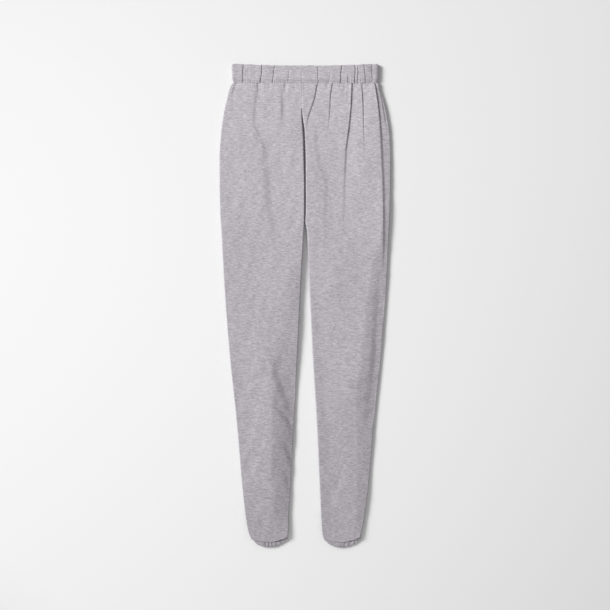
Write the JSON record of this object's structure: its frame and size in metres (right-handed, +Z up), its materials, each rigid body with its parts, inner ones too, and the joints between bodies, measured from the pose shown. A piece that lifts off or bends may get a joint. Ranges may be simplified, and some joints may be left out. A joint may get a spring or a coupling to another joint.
{
  "type": "jogger sweatpants",
  "caption": "Pull-on fleece jogger sweatpants laid flat, with a gathered elastic waistband, full tapering legs and elastic hems.",
  "frame": {"origin": "on the surface that the garment lies on, below the middle of its length and width", "axes": "+Z up off the surface through the front of the garment, +Y along the legs towards the waist, +X towards the wearer's left leg"},
  "size_m": [0.3594, 1.0154, 0.0118],
  "materials": {
    "fleece": "matt heather grey brushed fleece, slubby marl",
    "waistband_fleece": "matt heather grey fleece, gathered on elastic",
    "casing_fleece": "matt heather grey fleece, ruched on elastic"
  },
  "bodies": {
    "root": {"front_right": "fleece", "front_left": "fleece", "back_right": "fleece", "back_left": "fleece", "waistband": "waistband_fleece", "hem_casing_right": "casing_fleece", "hem_casing_left": "casing_fleece"}
  },
  "joints": []
}
